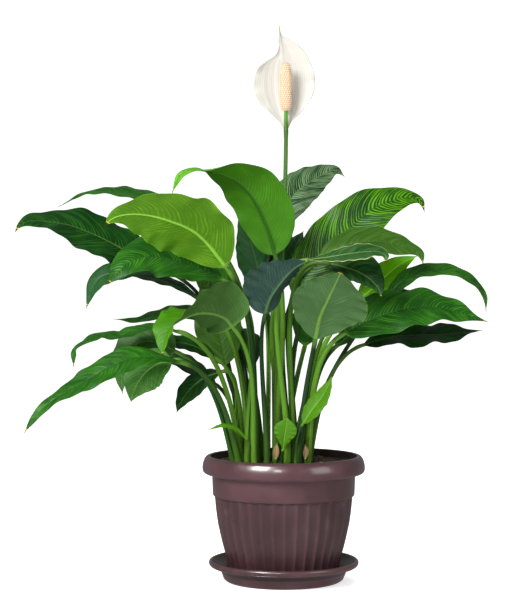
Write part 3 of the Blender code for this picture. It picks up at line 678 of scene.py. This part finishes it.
leaf("leaf_left_hanging", (-64, -5), [(-143, -30, 285), (-160, -30, 281), (-175, -30, 271),
     (-186, -30, 257), (-192, -30, 244), (-195, -30, 232)], 56, (-0.1, -0.85, 0.45), dusk_leaf,
     tint_and_light=0.7)
leaf("leaf_left_small", (-46, -40), [(-49, -42, 188), (-61, -44, 199), (-77, -46, 204), (-97, -46, 198)],
     13, (0, -0.4, 0.9), young_leaf, stalk=(2.0, 1.2))
leaf("leaf_left_grey", (-42, -2), [(-108, 8, 362), (-135, 10, 379), (-163, 10, 389), (-192, 10, 394),
     (-218, 12, 396), (-237, 14, 391), (-247, 16, 379), (-252, 18, 365), (-256, 18, 350)], 46,
     [(0, -0.45, 0.9), (0, -0.3, 0.9), (0, -0.2, 0.9), (-0.4, -0.75, 0.5), (-0.4, -0.9, 0.2)], slate_leaf,
     belly=1.1)
leaf("leaf_left_short", (-50, 6), [(-89, 21, 286), (-115, 21, 301), (-154, 25, 308), (-188, 26, 302)], 36,
     (0, -0.45, 0.9), dark_leaf, stalk=SLIM_STALK)
leaf("leaf_left_droop", (-62, 6), [(-141, 6, 296), (-168, 2, 308), (-189, 0, 305), (-204, 0, 288),
     (-209, 0, 264), (-208, 0, 240)], 54, (-0.3, -0.8, 0.5), dusk_leaf, belly=0.62,
     stalk=SLIM_STALK)
leaf("leaf_left_upright", (-41, 18), [(-76, 38, 276), (-84, 40, 318), (-90, 40, 346), (-97, 40, 372),
     (-107, 40, 398)], 62, (0, -0.85, 0.4), olive_leaf, stalk=SLIM_STALK)
leaf("leaf_left_inner", (-62, 17), [(-82, 32, 267), (-103, 34, 259), (-123, 36, 243), (-134, 36, 227),
     (-140, 36, 213)], 38, (-0.3, -0.7, 0.6), dark_leaf, belly=1.0, stalk=SLIM_STALK)
leaf("leaf_left_tip", (-42, 38), [(-90, 76, 328), (-127, 78, 343), (-169, 78, 340), (-196, 78, 333),
     (-226, 78, 335)], 46, (0, -0.38, 1), mid_leaf, belly=0.62)
leaf("leaf_left_broad", (-52, 28), [(-148, 62, 396), (-170, 62, 406), (-198, 60, 419), (-219, 58, 432),
     (-249, 54, 447), (-281, 46, 459), (-312, 38, 464), (-331, 30, 464), (-343, 24, 458), (-349, 20, 449)],
     78, (-0.1, -0.65, 0.75), dark_leaf, wave=4, belly=0.95, lean=(-34, 36, 242), stalk=SLIM_STALK)
leaf("leaf_left_high", (-32, 24), [(-103, 70, 447), (-156, 70, 490), (-188, 72, 499), (-224, 75, 505),
     (-263, 85, 502), (-301, 90, 484)], 58, (0.05, -0.3, 1), mid_leaf)

# Leaves in the middle, with the tall one that bends over at its tip and two small young ones in front,
# whose blades are still short on thin stalks.

leaf("leaf_centre_tall", (-10, -6), [(-11, 0, 420), (-17, -3, 441), (-25, -8, 463), (-35, -14, 484),
     (-46, -20, 500), (-58, -27, 511), (-74, -35, 519), (-96, -43, 525), (-117, -48, 526), (-131, -50, 520),
     (-137, -51, 508), (-142, -51, 495)], 76, [(0.2, 0.95, 0.1), (0.1, 0.9, 0.4), (-0.1, 0.5, 0.8),
     (-0.4, -0.2, 0.8), (-0.6, -0.75, 0.35)], tall_leaf, skew=0.15, belly=0.66)
leaf("leaf_centre_front", (-22, -36), [(-24, -52, 346), (-18, -74, 365), (-8, -98, 381), (3, -116, 395),
     (14, -134, 405), (28, -148, 412)], 84, (-0.3, 0.54, 0.79), slate_leaf, fold=40, stalk=SLIM_STALK)
leaf("leaf_centre_blue", (-20, 34), [(-28, 60, 374), (-36, 60, 411), (-44, 60, 440), (-59, 60, 477)], 52,
     (0.1, -0.6, 0.5), slate_leaf, stalk=SLIM_STALK)
leaf("leaf_centre_narrow", (-2, 26), [(-5, 50, 381), (5, 52, 408), (15, 54, 430), (27, 56, 452)], 40,
     (0, -0.8, 0.4), slate_leaf)
leaf("leaf_centre_back", (0, 44), [(-8, 66, 455), (6, 72, 488), (24, 80, 509), (48, 90, 525), (71, 97, 534),
     (84, 100, 525)], 56, (0.1, -0.75, 0.6), silver_leaf, stalk=SLIM_STALK)
leaf("leaf_young_tall", (14, -39), [(24, -40, 206), (36, -40, 224), (47, -40, 238), (55, -41, 252),
     (61, -41, 267)], 30, (-0.6, -0.7, 0.4), young_leaf, stalk=(2.2, 1.4))
leaf("leaf_young_short", (-5, -38), [(-2, -39, 172), (0, -41, 186), (2, -42, 200), (4, -42, 214)], 31,
     (0, -0.9, 0.2), young_leaf, stalk=(2.2, 1.4), belly=1.7)

# Leaves to the right, the nearest first.  They are grown in the same way; one is boldly striped, its
# stripes partly painted highlights, and one has a pale edge, a painted highlight along it.

leaf("leaf_right_front", (18, -27), [(40, -30, 313), (45, -54, 341), (53, -78, 362), (61, -102, 381),
     (68, -128, 399)], 98, (0.1, 0.85, 0.5), dusk_leaf, skew=0.12, belly=1.0)
leaf("leaf_right_pale_edge", (4, -24), [(28, -68, 413), (50, -78, 416), (75, -85, 420), (99, -92, 423),
     (116, -96, 423), (124, -99, 418), (123, -101, 409)], 36, (0, -0.6, 0.8), edged_leaf, belly=1.4)
leaf("leaf_right_folded", (10, -15), [(56, -48, 409), (76, -52, 404), (95, -56, 397), (109, -60, 387),
     (118, -63, 376), (121, -65, 366)], 44, (0, -0.85, 0.4), dark_leaf, skew=0.3)
leaf("leaf_right_large", (30, -14), [(78, -20, 320), (107, -20, 335), (128, -20, 343), (148, -20, 349),
     (174, -20, 353), (199, -20, 352), (225, -20, 346), (248, -20, 338), (261, -20, 334)], 70,
     (0, -0.7, 0.7), mid_leaf, belly=0.72, wave=2.5, waves=4.0)
leaf("leaf_right_olive", (14, 0), [(44, 10, 411), (73, 5, 429), (100, 0, 436), (129, -5, 436),
     (155, -10, 429), (174, -15, 421), (178, -18, 407)], 56, (0, -0.65, 0.75), olive_leaf)
leaf("leaf_right_glossy", (33, 5), [(104, 19, 303), (138, 20, 313), (171, 20, 316), (203, 20, 317),
     (229, 20, 319), (259, 20, 322)], 58, (0, -0.5, 0.85), dark_leaf, wave=3, waves=3, belly=0.95,
     tint_and_light=-0.25, stalk=SLIM_STALK)
leaf("leaf_right_arching", (26, 21), [(132, 24, 362), (154, 24, 385), (171, 24, 396), (203, 25, 401),
     (227, 25, 397), (249, 25, 384), (262, 25, 366), (264, 25, 346)], 34, (0.15, -0.48, 0.88), mid_leaf,
     stalk=SLIM_STALK)
leaf("leaf_right_striped", (6, 12), [(15, 30, 366), (32, 33, 396), (58, 38, 426), (91, 45, 458),
     (115, 50, 479), (144, 55, 492), (165, 58, 496), (181, 60, 492), (187, 60, 477)], 78, (0.1, -0.8, 0.5),
     striped_leaf)
leaf("leaf_right_dark", (24, 30), [(94, 44, 353), (127, 44, 364), (153, 45, 370), (184, 46, 372)], 28,
     (0, -0.5, 0.85), dark_leaf, stalk=SLIM_STALK)
# painted light: tint_and_light of 1.6 brightens this leaf far past its finish, so it looks lit through
leaf("leaf_right_small", (14, 34), [(101, 66, 361), (125, 66, 381), (143, 66, 398), (159, 66, 410),
     (178, 66, 419)], 44, (0, -0.8, 0.6), young_leaf, tint_and_light=1.6)

# Leaves to the back, of the same kind, that make the clump as full there as in front.  They arch out
# and away over the back of the pot.

leaf("leaf_back_left", (-34, 46), [(-60, 70, 330), (-100, 120, 400), (-130, 170, 430), (-150, 230, 420)],
     66, (0.2, -0.4, 0.9), mid_leaf)
leaf("leaf_back_middle", (-10, 56), [(-14, 90, 360), (-16, 140, 430), (-8, 185, 455), (0, 235, 440)], 64,
     (0, -0.4, 0.9), mid_leaf)
leaf("leaf_back_right", (10, 46), [(30, 65, 340), (70, 120, 400), (100, 165, 420), (140, 215, 400)], 66,
     (-0.2, -0.4, 0.9), mid_leaf)
leaf("leaf_back_far_right", (30, 42), [(70, 50, 300), (130, 90, 345), (180, 125, 355), (235, 150, 330)], 60,
     (-0.2, -0.3, 0.9), dark_leaf)
leaf("leaf_back_far_left", (-52, 40), [(-90, 55, 250), (-150, 95, 285), (-190, 125, 285), (-235, 150, 262)],
     50, (0.2, -0.3, 0.9), dark_leaf, stalk=SLIM_STALK)
leaf("leaf_back_low_left", (-28, 58), [(-45, 85, 270), (-60, 150, 310), (-80, 200, 315), (-95, 250, 285)],
     56, (0.1, -0.3, 0.9), dark_leaf)
leaf("leaf_back_low_right", (2, 58), [(30, 85, 300), (45, 150, 345), (60, 205, 350), (80, 255, 320)], 58,
     (-0.1, -0.3, 0.9), mid_leaf)

# Dry sheaths.  What is left of old leaf bases: short, brown and papery, standing among the feet of the
# stalks in the soil.

leaf("dry_sheath_left", (-12, -29), [(-11, -30, 160), (-10, -31, 170), (-9, -31, 180)], 8, (0, -1, 0.1),
     papery_leaf, stalk=(1.6, 1.4), dry=0.0)
leaf("dry_sheath_right", (28, -24), [(27, -25, 160), (28, -25, 170), (27, -25, 178)], 8, (0.3, -1, 0.1),
     papery_leaf, stalk=(1.6, 1.4), dry=0.0)

# Flower stalk.  A round, smooth green scape as tall as the plant, with a faint joint where the white
# spathe is attached and a short brighter neck above it that carries the spadix.


def stem_frame(line, count):
    """Even steps along the line, and at each the two directions square to it."""
    path = smooth_line(line, count)
    along = unit(np.gradient(path, axis=0))
    up = unit(np.array([0.0, 1.0, 0.0]) - along * along[:, 1:2])
    return path, np.cross(up, along), up


def stem_rings(path, side, up, radius, turn):
    """A ring about each step: (radius cos turn) along side and (radius sin turn) along up."""
    return (path[:, None] + (radius * np.cos(turn))[..., None] * side[:, None]
            + (radius * np.sin(turn))[..., None] * up[:, None])


def tube(name, line, radii, around, count, finish, replaces):
    """A circle carried along the line: its radius runs through radii at even steps of length, and every
    point is pushed out by a faint five-sided ribbing, 0.012 r cos 5a."""
    path, side, up = stem_frame(line, count)
    place = np.linspace(0.0, 1.0, count + 1)
    radius = np.interp(place, [p for p, _ in radii], [r for _, r in radii])[:, None]
    turn = (TURN * np.arange(around) / around)[None]
    radius = radius * (1.0 + 0.012 * np.cos(5.0 * turn))
    points = stem_rings(path, side, up, radius, turn)
    marks = {"climb": place[:, None] * np.ones_like(radius)}
    return closed_rings(name, points, path[[0, -1]], marks, finish, replaces)


def scape():
    """Smooth green skin, paler towards the foot, darker at the joint, with fine long streaks."""
    skin = Finish("flower_stalk_skin", 0.36)
    climb = skin.attribute("climb")
    stretched = skin.node("ShaderNodeMapping", None, {"Vector": skin.place(), "Scale": (1.0, 1.0, 0.06)})
    streak = skin.noise(900.0, 3.0, stretched)
    colour = skin.blend(climb.rise(0.0, 0.6), (0.055, 0.125, 0.01), (0.032, 0.115, 0.004))
    colour = skin.blend(streak.rise(0.4, 0.75) * 0.6, colour, (0.065, 0.18, 0.01))
    joint = climb.rise(0.935, 0.943) * (1.0 - climb.rise(0.947, 0.957))
    colour = skin.blend(joint * 0.7, colour, (0.03, 0.08, 0.015))
    colour = skin.blend(climb.rise(0.955, 0.985), colour, (0.06, 0.22, 0.008))
    skin.put("Base Color", colour)
    skin.bump(streak, 0.1, 0.6)
    return skin


stalk_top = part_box("flower_stalk")[1].z / MM
tube("flower_stalk_stem",
     [(-12, 14, soil_top - FOOT_DEPTH), (-8, 16, 300), (0, 18, 450), (3, 18, 560), (3, 16, stalk_top)],
     [(0, 3.5), (0.3, 3.1), (0.7, 2.75), (0.92, 2.65), (0.944, 3.15), (0.955, 2.5), (1, 2.35)], 40, 260,
     scape(), ["flower_stalk"])

# Spathe.  One thin white sheet that grows from the joint and stands behind the spadix, cupped towards it,
# softly pleated along its nerves, and drawn out at the top into a green drip tip.


SHEET_STEPS, SHEET_ACROSS = 200, 90
SHEET_HALF = 0.32                  # half the sheet's thickness at its middle
CUP, CUP_OPENING = 20.0, 6.0       # degrees at the joint, and how many fewer at the tip
PLEAT, LEFT_FOLD, RIGHT_FOLD = 0.12, 1.2, 0.8


def cupped_sheet(name, spine, left, right, finish, replaces):
    """A closed thin sheet: across each step of the spine v runs -1 to 1 and the sheet reaches left or right
    of it, then bends forward along a circular arc of CUP degrees that opens towards the tip.  Pleats
    PLEAT cos(9 pi v) run along it, fading to the edge, a soft fold stands on each side of the spadix, the
    middle is raised near the tip, and a keel runs down the back."""
    count, across = SHEET_STEPS, SHEET_ACROSS
    path = smooth_line(spine, count)
    along = unit(np.gradient(path, axis=0))
    front = np.array([0.0, -1.0, 0.05])
    front = unit(front - (along @ front)[:, None] * along)
    side = np.cross(front, along)
    s = np.linspace(0.0, 1.0, count + 1)
    reach = [smooth_line(list(zip(np.linspace(0, 1, len(row)), row)), count) for row in (left, right)]
    wide = [np.maximum(np.interp(s, r[:, 0], r[:, 1]), 0.3)[:, None] for r in reach]
    t = np.linspace(-1.0, 1.0, across)
    v = np.concatenate([t[::-1], t[1:-1]])[None]
    above = np.concatenate([np.ones(across), np.zeros(across - 2)])[None]
    far = np.abs(v)
    half = np.where(v > 0.0, wide[0], wide[1])
    s = s[:, None]
    roll = np.radians(CUP - CUP_OPENING * s)
    x = np.sign(v) * half / roll * np.sin(roll * far)
    lift = half / roll * (1.0 - np.cos(roll * far))
    body = np.sin(math.pi * held(s)) ** 0.6
    lift = lift + PLEAT * np.cos(9.0 * math.pi * v + 0.6 * np.sin(5 * s)) * body * (1 - far**4)
    lift = lift - LEFT_FOLD * np.exp(-((v + 0.34) / 0.13) ** 2) * body * held(1.25 - s)
    lift = lift - RIGHT_FOLD * np.exp(-((v - 0.4) / 0.18) ** 2) * body * held(1.3 - s)
    lift = lift + (2.6 * np.exp(-(v / 0.13) ** 2) * held((s - 0.62) * 4)
                   * held((1 - s) * 5))
    lift = lift + 2.2 * far**3 * lumps(7.0 * s + 3, 2.0 * v, 1.0, 71) * body
    lift = lift + 1.4 * far**6 * np.sin(TURN * 6.5 * s + 1.5 * np.sign(v)) * body
    thick = SHEET_HALF * np.sqrt(np.maximum(1.0 - v**4, 0.0)) * (0.35 + 0.65 * held((1 - s) * 12))
    keel = 1.5 * np.exp(-(x / 1.6) ** 2) * held(1.0 - 1.1 * s)
    offset = np.where(above > 0, thick, -thick - keel)
    points = path[:, None] + x[..., None] * side[:, None] + (lift + offset)[..., None] * front[:, None]
    ones = np.ones_like(x)
    marks = {"climb": s * ones, "nerve": v * ones}
    return closed_rings(name, points, points[[0, -1]].mean(axis=1), marks, finish, replaces)


def petal():
    """Ivory-white, thin and faintly waxy: grey lines along the nerves and soft grey clouds, partly the
    nerves' own tint and partly painted shade of the pleats, a greener keel and base, a yellow-green tip.
    """
    skin = Finish("spathe_skin", 0.48)
    climb = skin.attribute("climb")
    nerve = skin.attribute("nerve")
    line = (nerve * 13.0 + 0.25).wave()
    hair = (nerve * 34.0).wave()
    cloud = skin.noise(45.0, 4.0)
    shade = line * 0.45 + hair * 0.2 + (cloud - 0.5) * 0.5
    colour = skin.blend(shade.rise(0.1, 1.0), (0.52, 0.5, 0.455), (0.44, 0.42, 0.38))
    middle = 1.0 - nerve.maths("ABSOLUTE", nerve).rise(0.02, 0.16)
    colour = skin.blend(middle * (1.0 - climb.rise(0.1, 0.7)) * 0.45, colour, (0.46, 0.6, 0.25))
    colour = skin.blend((1.0 - climb.rise(0.0, 0.1)) * 0.8, colour, (0.42, 0.6, 0.2))
    colour = skin.blend(climb.rise(0.91, 0.96), colour, (0.42, 0.5, 0.1))
    colour = skin.blend(climb.rise(0.975, 0.998) * 0.7, colour, (0.2, 0.16, 0.05))
    skin.put("Base Color", colour)
    skin.put("Roughness", 0.42 + 0.12 * cloud)
    skin.bump(line * 0.6 + hair * 0.3 + cloud * 0.3, 0.2, 0.7)
    return skin


spathe_low, spathe_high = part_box("spathe")
cupped_sheet("spathe_sheet", [(3, 20.5, spathe_low.z / MM + 0.3), (2, 27, 600), (0, 32, 640), (-1, 29, 672),
             (-4, 21, 700), (-6, 15, spathe_high.z / MM)],
             [2.5, 7, 15, 24, 32, 37, 39.5, 39, 37, 33, 22, 7, 3.6, 2.6, 0.8, 0.4],
             [2.5, 8, 18, 26.5, 34, 39, 41.5, 42, 41, 38, 34, 28.5, 20, 9, 1.0, 0.4],
             petal(), ["spathe"])

# Spadix.  A blunt cream column covered in small florets set in spirals, each a low dome with a darker
# dimple; it stands on the neck in front of the spathe.


FLORET_ROWS, FLORET_COLUMNS = 24, 15
FLORET_POINTS = 13                    # grid points across one floret, both ways
DOME_HEIGHT, PIT_DEPTH = 1.05, 0.3


def studded_column(name, line, profile, finish, replaces):
    """A round column whose radius runs through profile.  Florets stand in staggered rows: each is a dome
    (1 - 0.75 d^2)^0.7 of about DOME_HEIGHT, with a pit exp(-20 d^2) of PIT_DEPTH in its middle, where d is
    the distance from that middle over the floret's half-width."""
    around, count = FLORET_COLUMNS * FLORET_POINTS, FLORET_ROWS * FLORET_POINTS
    path, side, up = stem_frame(line, count)
    s = np.linspace(0.0, 1.0, count + 1)[:, None]
    turn = (np.arange(around) / around)[None]
    radius = np.interp(s, [p for p, _ in profile], [r for _, r in profile])
    row = s * FLORET_ROWS
    shift = 0.5 * (np.floor(row) % 2) + 0.12 * np.floor(row)
    column = turn * FLORET_COLUMNS + shift
    d2 = (2 * (row % 1.0) - 1.0) ** 2 + (2 * (column % 1.0) - 1.0) ** 2
    dome = held(1.0 - 0.75 * d2) ** 0.7
    pit = np.exp(-d2 / 0.05)
    dice = np.random.default_rng(5).uniform(0, 1, (FLORET_ROWS + 1, FLORET_COLUMNS))
    lot = dice[np.floor(row).astype(int), np.floor(column).astype(int) % FLORET_COLUMNS]
    bumpy = held(s * 30) * held((1 - s) * 14)
    radius = radius + (DOME_HEIGHT * dome * (0.7 + 0.5 * lot) - PIT_DEPTH * pit) * bumpy
    points = stem_rings(path, side, up, radius, TURN * turn)
    marks = {"dome": dome, "pit": pit * bumpy, "lot": lot}
    return closed_rings(name, points, path[[0, -1]], marks, finish, replaces, tip=0.5)


def florets():
    """Cream florets, dark ochre in the seams between them and tan in their dimples, both painted shade; some
    have ripened to a pinkish tan.
    """
    skin = Finish("spadix_skin", 0.7)
    dome = skin.attribute("dome")
    ripe = skin.attribute("lot").rise(0.55, 0.9)
    grain = skin.noise(800.0, 3.0)
    # painted shade: dark ochre where the domes fall away between florets, and tan in each dimple below
    colour = skin.blend(dome.rise(0.3, 0.95), (0.4, 0.17, 0.06), (0.7, 0.57, 0.41))
    colour = skin.blend(ripe * 0.5, colour, (0.66, 0.44, 0.27))
    colour = skin.blend(skin.attribute("pit") * 0.6, colour, (0.45, 0.27, 0.13))
    colour = skin.blend(grain * 0.3, colour, (0.8, 0.76, 0.6))
    skin.put("Base Color", colour)
    skin.bump(grain, 0.15, 0.6)
    return skin


spadix_low, spadix_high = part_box("spadix")
studded_column("spadix_column",
               [(3, 15.8, spadix_low.z / MM + 0.2), (3, 13, 640), (2, 10, spadix_high.z / MM - 0.4)],
               [(0, 4.0), (0.08, 6.2), (0.25, 6.9), (0.6, 7.1), (0.85, 6.5),
                (0.94, 5.1), (0.985, 2.6), (1, 0.8)],
               florets(), ["spadix"])

# Setting.  A pale seamless floor and wall, a large soft light from the front left, weaker ones from the
# right and from the front, one from above and behind, and the camera level with the middle of the leaves.


def seamless(width, depth, height, bend):
    """A floor that turns up into a wall: flat to the bend, a quarter circle, then straight up."""
    arc = np.linspace(0.0, math.pi / 2, 24)
    y = np.concatenate([[-depth], depth - bend + bend * np.sin(arc), [depth]])
    z = np.concatenate([[0.0], bend - bend * np.cos(arc), [height]])
    points = np.stack([np.stack([np.full_like(y, x), y, z], 1) for x in (-width, width)], 1).reshape(-1, 3)
    index = np.arange(len(points)).reshape(-1, 2)
    faces = np.stack([index[:-1, 0], index[:-1, 1], index[1:, 1], index[1:, 0]], 1)
    mesh = bpy.data.meshes.new("seamless_floor")
    mesh.from_pydata(points.tolist(), [], faces.tolist())
    mesh.polygons.foreach_set("use_smooth", np.ones(len(faces), bool))
    made = bpy.data.objects.new("seamless_floor", mesh)
    bpy.context.scene.collection.objects.link(made)
    return made


PAPER_GLOW, SKY_GLOW = 0.62, 0.16
paper = Finish("white_paper", 0.9)
paper.shader.inputs["Base Color"].default_value = (0.88, 0.88, 0.88, 1.0)
paper.shader.inputs["Emission Color"].default_value = (1.0, 1.0, 1.0, 1.0)
paper.shader.inputs["Emission Strength"].default_value = PAPER_GLOW
floor = seamless(10.0, 6.4, 7.5, 2.2)
floor.data.materials.append(paper.material)
floor.visible_glossy = False

world = bpy.data.worlds.new("studio")
bpy.context.scene.world = world
world.use_nodes = True
world.node_tree.nodes["Background"].inputs["Color"].default_value = (1.0, 1.0, 1.0, 1.0)
world.node_tree.nodes["Background"].inputs["Strength"].default_value = SKY_GLOW


def softbox(name, place, aim, size, power):
    """A square area light at place, turned to face aim."""
    lamp = bpy.data.lights.new(name, "AREA")
    lamp.size = size
    lamp.energy = power
    made = bpy.data.objects.new(name, lamp)
    bpy.context.scene.collection.objects.link(made)
    made.location = place
    reach = np.asarray(aim, float) - np.asarray(place, float)
    made.rotation_euler = (math.atan2(np.hypot(reach[0], reach[1]), -reach[2]), 0.0,
                           math.atan2(reach[1], reach[0]) - math.pi / 2)
    return made


softbox("key_light", (-1.6, -2.1, 1.9), (0.0, 0.0, 0.35), 1.2, 120.0)
softbox("fill_light", (2.2, -1.6, 1.1), (0.0, 0.0, 0.3), 1.4, 18.0)
softbox("front_light", (-0.45, -2.7, 1.35), (0.0, 0.0, 0.15), 0.5, 14.0)
rim = softbox("rim_light", (0.5, 1.9, 2.1), (0.0, 0.0, 0.45), 1.2, 30.0)
rim.visible_glossy = False

camera_data = bpy.data.cameras.new("camera")
camera_data.lens = 104.6
camera_data.sensor_width = 36.0
CAMERA_DIP = 1.3      # degrees below level
camera = bpy.data.objects.new("camera", camera_data)
bpy.context.scene.collection.objects.link(camera)
camera.location = (-0.037, -2.29, 0.406)
camera.rotation_euler = (math.radians(90.0 - CAMERA_DIP), 0.0, 0.0)
scene = bpy.context.scene
scene.camera = camera
scene.view_settings.view_transform = "Standard"

bpy.context.view_layer.update()
